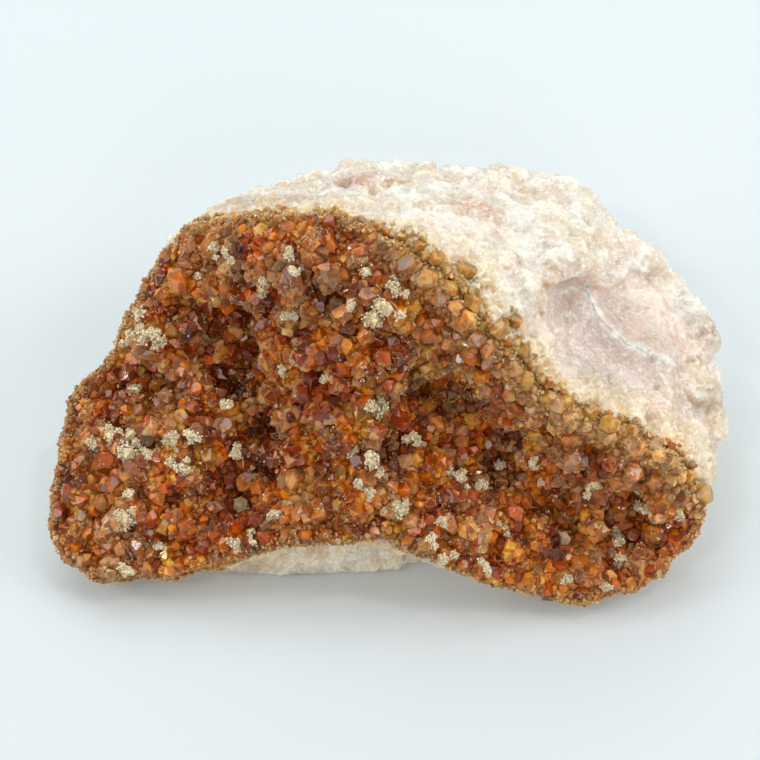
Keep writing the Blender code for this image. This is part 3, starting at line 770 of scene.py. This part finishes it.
def blade_template(draw):
    """A small plain point, for the finest crystals."""
    turn = np.arange(5) * math.tau / 5
    wide = draw.uniform(0.8, 1.0, 5)
    low = np.column_stack([np.cos(turn) * wide, np.sin(turn) * wide, np.full(5, -0.2)])
    corners = np.vstack([low, [[draw.uniform(-0.3, 0.3), draw.uniform(-0.3, 0.3), 0.9]], [[0, 0, -0.9]]])
    faces = [[k, (k + 1) % 5, 5] for k in range(5)] + [[(k + 1) % 5, k, 6] for k in range(5)]
    return corners, faces, np.zeros(10, int)


def frames_at(normals, lean, draw):
    """Axes for crystals that stand on a surface and lean a little at random."""
    axis = normals + draw.normal(0, 1, normals.shape) * lean
    axis /= np.linalg.norm(axis, axis=1)[:, None]
    helper = draw.normal(0, 1, normals.shape)
    side = np.cross(helper, axis)
    side /= np.linalg.norm(side, axis=1)[:, None]
    return side, np.cross(axis, side), axis


def crystals_mesh(name, seats, normals, radii, colours, stand, lean, draw, templates, contrast=0.5):
    """One joined mesh of crystals. Every face has a random painted brightness that stands in for inner
    reflections, roots are painted darker and tips lighter, and the bevelled edges carry a painted glow.
    """
    side, other, axis = frames_at(normals, lean, draw)
    which = draw.integers(len(templates), size=len(seats))
    lift = radii * draw.uniform(*stand, len(seats))
    stretch = draw.uniform(0.85, 1.15, (len(seats), 3))
    places, loops, totals, tints = [], [], [], []
    start = 0
    for number, (corners, faces, worn) in enumerate(templates):
        mine = np.nonzero(which == number)[0]
        local = corners[None] * stretch[mine][:, None] * radii[mine][:, None, None]
        foot = seats[mine] + axis[mine] * lift[mine][:, None]
        place = foot[:, None] + side[mine][:, None] * local[..., :1]
        place = place + other[mine][:, None] * local[..., 1:2] + axis[mine][:, None] * local[..., 2:]
        sizes = np.array([len(f) for f in faces])
        around = np.concatenate(faces)
        first = start + np.arange(len(mine)) * len(corners)
        start += len(mine) * len(corners)
        face_of = np.repeat(np.arange(len(faces)), sizes)
        # Painted reflection: a random brightness for each face, standing in for the inner reflections each
        # face shows
        shade = 1 + contrast * draw.uniform(-1, 1, (len(mine), len(faces)))
        # Painted shade and glow: darker towards each crystal's root, lighter towards its tip
        height = np.clip(corners[around, 2], -1, 1)
        shade = shade[:, face_of] * (0.9 + 0.25 * height)[None]
        tint = np.ones((len(mine), len(around), 4))
        tint[..., :colours.shape[1]] = colours[mine][:, None]
        # Painted glow: the bevelled edge faces are mixed towards a pale glow colour
        edge = (worn[face_of] * 0.4)[None, :, None]
        tint[..., :3] = tint[..., :3] * shade[..., None] * (1 - edge) + np.array(PAINTED_EDGE_GLOW) * edge
        places.append(place.reshape(-1, 3))
        loops.append((around[None] + first[:, None]).ravel())
        totals.append(np.tile(sizes, len(mine)))
        tints.append(tint.reshape(-1, 4))
    places, loops, totals = np.concatenate(places), np.concatenate(loops), np.concatenate(totals)
    mesh = bpy.data.meshes.new(name)
    mesh.vertices.add(len(places))
    mesh.loops.add(len(loops))
    mesh.polygons.add(len(totals))
    mesh.loops.foreach_set("vertex_index", loops)
    mesh.polygons.foreach_set("loop_start", np.concatenate([[0], np.cumsum(totals)[:-1]]))
    put_back(mesh, places)
    mesh.update(calc_edges=True)
    mesh.shade_flat()
    layer = mesh.color_attributes.new("Tint", "FLOAT_COLOR", "CORNER")
    layer.data.foreach_set("color", np.concatenate(tints).astype(np.float32).ravel())
    return mesh


def surface_samples(mesh, count, draw, keep):
    """Random places on a mesh with the normals there, on faces for which keep is true."""
    triangles = np.array([(p.vertices[0], p.vertices[k], p.vertices[k + 1])
                          for p in mesh.polygons for k in range(1, len(p.vertices) - 1)])
    places, normals = arrays_of(mesh)
    a, b, c = (places[triangles[:, k]] for k in range(3))
    cross = np.cross(b - a, c - a)
    area = np.linalg.norm(cross, axis=1)
    facing = cross / np.maximum(area, 1e-15)[:, None]
    area = area * keep(facing, (a + b + c) / 3)
    chosen = draw.choice(len(triangles), count, p=area / area.sum())
    r, s = np.sqrt(draw.uniform(size=count)), draw.uniform(size=count)
    weights = np.column_stack([1 - r, r * (1 - s), r * s])
    at = (places[triangles[chosen]] * weights[..., None]).sum(1)
    normal = (normals[triangles[chosen]] * weights[..., None]).sum(1)
    return at, normal / np.linalg.norm(normal, axis=1)[:, None]


def spread(places, radii, spacing, taken):
    """Indices of the places that keep their distance from each other and from those taken already."""
    cell = 2.2 * MM
    grid = {}
    for at, radius in taken:
        grid.setdefault(tuple((at // cell).astype(int)), []).append((at, radius))
    kept = []
    for i, (at, radius) in enumerate(zip(places, radii)):
        home = (at // cell).astype(int)
        free = True
        for step in np.ndindex(3, 3, 3):
            beside = (home[0] + step[0] - 1, home[1] + step[1] - 1, home[2] + step[2] - 1)
            for other, reach in grid.get(beside, ()):
                gap = math.dist(at, other)
                if gap < spacing * (radius + reach):
                    free = False
                    break
            if not free:
                break
        if free:
            kept.append(i)
            taken.append((at, radius))
            grid.setdefault(tuple(home), []).append((at, radius))
    return kept


def crust_depth_at(places):
    """Thickness of the crust under places, in mm, measured along the view."""
    depth = np.zeros(len(places))
    for i, place in enumerate(places):
        upper = CRUST_TREE.ray_cast(Vector(place) + FACING * (8 * MM), -FACING)[0]
        if upper is None:
            continue
        lower = CRUST_TREE.ray_cast(upper - FACING * (0.02 * MM), -FACING)[0]
        depth[i] = 0 if lower is None else (upper - lower).length / MM
    return depth


def crystal_colours(places, normals, draw, rim):
    """A colour for each crystal from where it stands, how thick the crust is there and the way it faces."""
    count = len(places)
    pick = draw.uniform(size=count)
    patch = fractal(places, 5 * MM, 9) * 0.7 + fractal(places, 2.4 * MM, 12) * 0.35
    level = np.clip(0.48 + (pick - 0.5) * 0.6 + patch, 0, 1)
    at = level * (len(PALETTE) - 1)
    low = np.floor(at).astype(int).clip(0, len(PALETTE) - 2)
    share = (at - low)[:, None]
    colours = PALETTE[low] * (1 - share) + PALETTE[low + 1] * share
    pale = fractal(places, 7 * MM, 31) + fractal(places, 2.5 * MM, 32) * 0.6
    colours = mixed(colours, TAN, np.clip(pale * 1.6 - 0.1, 0, 0.6) * (draw.uniform(size=count) < 0.7))
    colours = mixed(colours, TAN, 0.5 * nearness(places, spots_on(PALE)) * (draw.uniform(size=count) < 0.7))
    # Painted shade: crystals in the valleys are mixed towards brown and darkened
    valley_shade = nearness(places, spots_on(VALLEYS))
    colours = mixed(colours, BROWN, 0.8 * valley_shade) * (1 - 0.35 * valley_shade)[:, None]
    colours = colours * np.clip(1 + 0.75 * fractal(places, 3.4 * MM, 17), 0.6, 1.4)[:, None]
    # Painted glow: crystals in the glow patches are mixed towards bright orange
    colours = mixed(colours, ORANGE, 0.55 * nearness(places, spots_on(GLOW_PATCHES)) * (pick > 0.25))
    tan = np.clip(1.3 - line_distance(places, TAN_RIM) / (4.5 * MM), 0, 1)
    colours = mixed(colours, TAN, 0.95 * tan * np.clip(0.5 + pick, 0, 1))
    edge = np.clip(1.2 - line_distance(places, LOWER_RIM) / (1.6 * MM), 0, 1)
    colours = mixed(colours, TAN, 0.7 * edge)
    colours = mixed(colours, GOLD, 0.85 * rim * np.clip(0.5 + pick, 0, 1))
    facing = normals @ np.array(FACING)
    colours = mixed(colours, TAN, 0.8 * np.clip((0.6 - facing) / 0.4, 0, 1))
    colours = mixed(colours, CREAM, 0.8 * np.clip((0.1 - facing) / 0.3, 0, 1))
    eastward = np.clip(places[:, 0] / (40 * MM), 0, 1)
    return colours * draw.uniform(0.8, 1.2, (count, 1)) * (1 + 0.22 * eastward)[:, None]


def add_crystals(name, material, mesh):
    """Puts a finished mesh in the scene, with its material."""
    mesh.materials.append(material)
    made = linked(name, mesh)
    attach(made, "root")
    return made


def growth_layer(material, draw):
    """The layer that the crystals grow from, lowered below their tips and uneven."""
    base = remeshed(CRUST_MESH, "citrine_growth_layer", GROWTH_VOXEL, 12)
    places, normals = arrays_of(base.data)
    outward = np.clip(normals @ np.array(FACING), 0, 1)
    hollow = 0.6 + 1.5 * nearness(places, spots_on(VALLEYS)) + 0.9 * fractal(places, 3.4 * MM, 15)
    room = np.clip(crust_depth_at(places) - 1.2, 0.1, 2.6)
    places -= normals * (outward * np.clip(hollow, 0.1, room) * MM)[:, None]
    put_back(base.data, places)
    rim = np.clip((3.0 - crust_depth_at(places)) / 1.5, 0, 1)
    paint(base.data, "Tint", crystal_colours(places, normals, draw, rim) * 0.7)
    base.data.materials.append(material)
    base.data.shade_smooth()
    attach(base, "root")
    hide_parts("citrine_druse")
    return base


def crust_pieces(material, dressed_quartz):
    """The growth layer and its crystals, from the coarsest to the finest."""
    draw = np.random.default_rng(SEED)
    base = growth_layer(growth_material(), draw)
    facing = np.array(FACING)

    def side_above(limit):
        """Keeps the faces that are turned to the camera by more than a limit."""
        return lambda normal, centre: (normal @ facing > limit) * 1.0

    bold = [point_template(draw, 48, 0.9, 0.07) for _ in range(20)]
    plain = [point_template(draw, 48, 0.95, 0) for _ in range(20)]
    tiny = [blade_template(draw) for _ in range(8)]
    taken = []
    for name, tries, sizes, spacing, limit, stand, lean, depth in CRYSTAL_GROUPS:
        templates = bold if depth else plain
        seats, normals = surface_samples(base.data, tries, draw, side_above(limit))
        radii = draw.uniform(*sizes, tries) * MM
        thick = crust_depth_at(seats)
        if depth:
            deep = thick + draw.normal(0, 0.3, tries) - 3 * rim_at(seats) > depth
            seats, normals, radii = seats[deep], normals[deep], radii[deep]
        else:
            radii *= np.clip(0.65 + (thick - 1.6) / 2.5, 0.65, 1)
            radii *= np.clip(0.85 + 0.5 * normals @ facing, 0.75, 1)
        kept = spread(seats, radii, spacing, taken)
        seats, normals, radii = seats[kept], normals[kept], radii[kept]
        colours = crystal_colours(seats, normals, draw, rim_at(seats))
        mesh = crystals_mesh(name, seats, normals, radii, colours, stand, lean, draw, templates)
        add_crystals(name, material, mesh)
    knobs_piece(material, draw, bold, plain, dressed_quartz.data)
    sugar_piece(material, draw, tiny)


def crystal_trees():
    """One search tree over the crystals of the crust."""
    return tree_of(*[o.data for o in bpy.data.objects if o.name.startswith("citrine_crystals_")])


def knobs_piece(material, draw, bold, plain, quartz_mesh):
    """Amber crystals on the seam between crust and quartz: the great ones by place, the rest strewn."""
    seats = np.array([on_solid(x, y)[0] for x, y, _ in KNOBS])
    normals = np.array([on_solid(x, y)[1] for x, y, _ in KNOBS]) * 0.5 + np.array(FACING)
    radii = np.array([r for _, _, r in KNOBS]) * MM
    colours = np.tile(KNOB, (len(KNOBS), 1)) * draw.uniform(0.85, 1.15, (len(KNOBS), 1))
    mesh = crystals_mesh("citrine_seam_knobs", seats, normals, radii, colours,
                         (0.0, 0.3), 0.2, draw, bold, 0.25)
    add_crystals("citrine_seam_knobs", material, mesh)
    taken = list(zip(seats, radii))
    seats, normals = surface_samples(quartz_mesh, SEAM_TRIES, draw, near_crust)
    reach = np.array([CRUST_TREE.find_nearest(Vector(p))[3] for p in seats]) / MM
    to_knobs = line_distance(seats, [(x, y) for x, y, _ in sorted(KNOBS)]) / MM
    chance = np.clip(1.2 - reach / 1.1, 0, 1) + np.exp(-(to_knobs / 1.2) ** 2)
    chosen = draw.uniform(size=len(reach)) < chance
    seats, normals, reach = seats[chosen], normals[chosen], reach[chosen]
    radii = draw.uniform(0.45, 1.05, len(seats)) * np.clip(1.1 - reach / 9, 0.6, 1) * MM
    kept = spread(seats, radii, 0.6, taken)[:SEAM_COUNT]
    away = np.clip(reach[kept] / 3.4, 0, 1)
    colours = mixed(np.tile(SEAM, (len(kept), 1)), YELLOW_CREAM, away)
    colours = mixed(colours, ORANGE, (draw.uniform(size=len(kept)) < 0.25) * (1 - away) * 0.7)
    mesh = crystals_mesh("citrine_seam_crystals", seats[kept], normals[kept], radii[kept], colours,
                         (-0.2, 0.3), 0.35, draw, plain, 0.25)
    add_crystals("citrine_seam_crystals", material, mesh)


def near_crust(normal, centre):
    """Quartz faces beside the crust, on the side that shows."""
    close = np.array([CRUST_TREE.find_nearest(Vector(p))[3] for p in centre]) < SEAM_WIDTH
    return close * (normal @ np.array(FACING) > 0.1) * (centre[:, 2] > 2 * MM) * 1.0


def sugar_piece(material, draw, templates):
    """The finest crystals, a pale dusting on the others."""
    trees = crystal_trees()
    seats, normals = surface_samples(CRUST_MESH, SUGAR_COUNT, draw,
                                     lambda normal, centre: (normal @ np.array(FACING) > 0) * 1.0)
    patch = fractal(seats, 3 * MM, 21) + 0.5 * fractal(seats, 8 * MM, 22)
    keep = draw.uniform(size=len(seats)) < np.clip(1.7 * patch - 0.05, 0, 0.9)
    hits = [trees.ray_cast(Vector(p) + FACING * (6 * MM), -FACING) for p in seats[keep]]
    hits = [h for h in hits if h[0] is not None]
    seats = np.array([h[0][:] for h in hits])
    normals = np.array([h[1][:] for h in hits]) + np.array(FACING) * 0.5
    radii = draw.uniform(0.12, 0.3, len(seats)) * MM
    colours = np.tile(np.array(SUGAR), (len(seats), 1))
    colours = mixed(colours, ORANGE, draw.uniform(0, 0.5, len(seats)))
    mesh = crystals_mesh("citrine_sugar", seats, normals, radii, colours, (0.0, 0.5), 0.4, draw, templates)
    add_crystals("citrine_sugar", material, mesh)


def rosettes_piece(material, trees):
    """Pale rosettes: ragged bunches of tiny blades on the crystals."""
    draw = np.random.default_rng(SEED + 1)
    blades = [blade_template(draw) for _ in range(8)]
    seats, normals, radii, colours = [], [], [], []
    for x, y, small in ROSETTES:
        radius = small * ROSETTE_SPREAD
        tone = draw.uniform(0.8, 1.0)
        for lump in range(2 + int(radius * 2.6)):
            wander = radius / MM_PER_PIXEL * 0.6 * draw.normal(0, 1, 2) * (lump > 0)
            hit, normal, _, _ = trees.ray_cast(EYE, ray_through(x + wander[0], y + wander[1]))
            if hit is None:
                continue
            towards = (normal + FACING * 1.5).normalized()
            size = radius * draw.uniform(0.35, 0.75) * MM
            seats.append(np.array(hit))
            normals.append(np.array(towards))
            radii.append(size * 0.95)
            colours.append(np.array(CREAM) * tone * [0.9, 0.8, 0.64])
            for _ in range(int(20 + 26 * draw.uniform() * radius)):
                way = Vector(draw.normal(0, 1, 3)).normalized()
                if way.dot(towards) < -0.1:
                    way = way - 2 * way.dot(towards) * towards
                seats.append(np.array(hit) + np.array(way) * size * draw.uniform(0.6, 1.0))
                normals.append(np.array(way))
                radii.append(draw.uniform(0.14, 0.34) * MM)
                shade = tone * draw.uniform(0.85, 1.1)
                colours.append(np.array(CREAM) * shade * [1, draw.uniform(0.9, 0.96), 0.8])
    mesh = crystals_mesh("pale_rosettes", np.array(seats), np.array(normals), np.array(radii),
                         np.array(colours), (0.0, 0.6), 0.3, draw, blades)
    return add_crystals("pale_rosettes", material, mesh)


# Stage


def stage():
    """Pale paper under soft light."""
    mesh = bpy.data.meshes.new("floor")
    half = 0.9
    corners = [(-half, -half, 0), (half, -half, 0), (half, half, 0), (-half, half, 0)]
    mesh.from_pydata(corners, [], [(0, 1, 2, 3)])
    floor = linked("floor", mesh)
    floor.location.z = -0.00005
    material, nodes, links, shader = principled("paper")
    shader.inputs["Base Color"].default_value = (*PAPER, 1)
    shader.inputs["Roughness"].default_value = 0.8
    shader.inputs["Specular IOR Level"].default_value = 0.2
    mesh.materials.append(material)
    floor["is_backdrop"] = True

    world = bpy.data.worlds.new("studio")
    world.use_nodes = True
    nodes, links = world.node_tree.nodes, world.node_tree.links
    background = nodes["Background"]
    background.inputs["Color"].default_value = ROOM_COLOUR
    way = nodes.new("ShaderNodeTexCoord")
    towards = nodes.new("ShaderNodeVectorMath")
    towards.operation = "DOT_PRODUCT"
    towards.inputs[1].default_value = FACING
    links.new(way.outputs["Generated"], towards.inputs[0])
    level = ranged(nodes, links, towards.outputs["Value"], 0.7, 0.95, ROOM_LIGHT, ROOM_SHADE)
    links.new(level, background.inputs["Strength"])
    bpy.context.scene.world = world

    for name, location, size, power, colour in LIGHTS:
        light = bpy.data.lights.new(name, "AREA")
        light.shape = "RECTANGLE"
        light.size, light.size_y = size
        light.energy = power
        light.color = colour
        made = bpy.data.objects.new(name, light)
        made.location = location
        made.rotation_euler = (Vector(location) - Vector((0, 0, 0.02))).to_track_quat("Z", "Y").to_euler()
        bpy.context.scene.collection.objects.link(made)


def camera():
    """The photograph's camera."""
    data = bpy.data.cameras.new("photo")
    data.sensor_width = 36
    data.lens = 18 / (PICTURE / 2 * MM_PER_PIXEL * MM / DISTANCE)
    data.clip_start, data.clip_end = 0.01, 10
    made = bpy.data.objects.new("photo", data)
    made.location = EYE
    made.rotation_euler = FACING.to_track_quat("Z", "Y").to_euler()
    bpy.context.scene.collection.objects.link(made)
    bpy.context.scene.camera = made
    bpy.context.scene.view_settings.view_transform = "Standard"


citrine = citrine_material()
quartz = quartz_material()
dressed_quartz = quartz_piece(quartz)
vein_piece(quartz, dressed_quartz.data)
crust_pieces(citrine, dressed_quartz)
rosettes_piece(rosette_material(), crystal_trees())
stage()
camera()
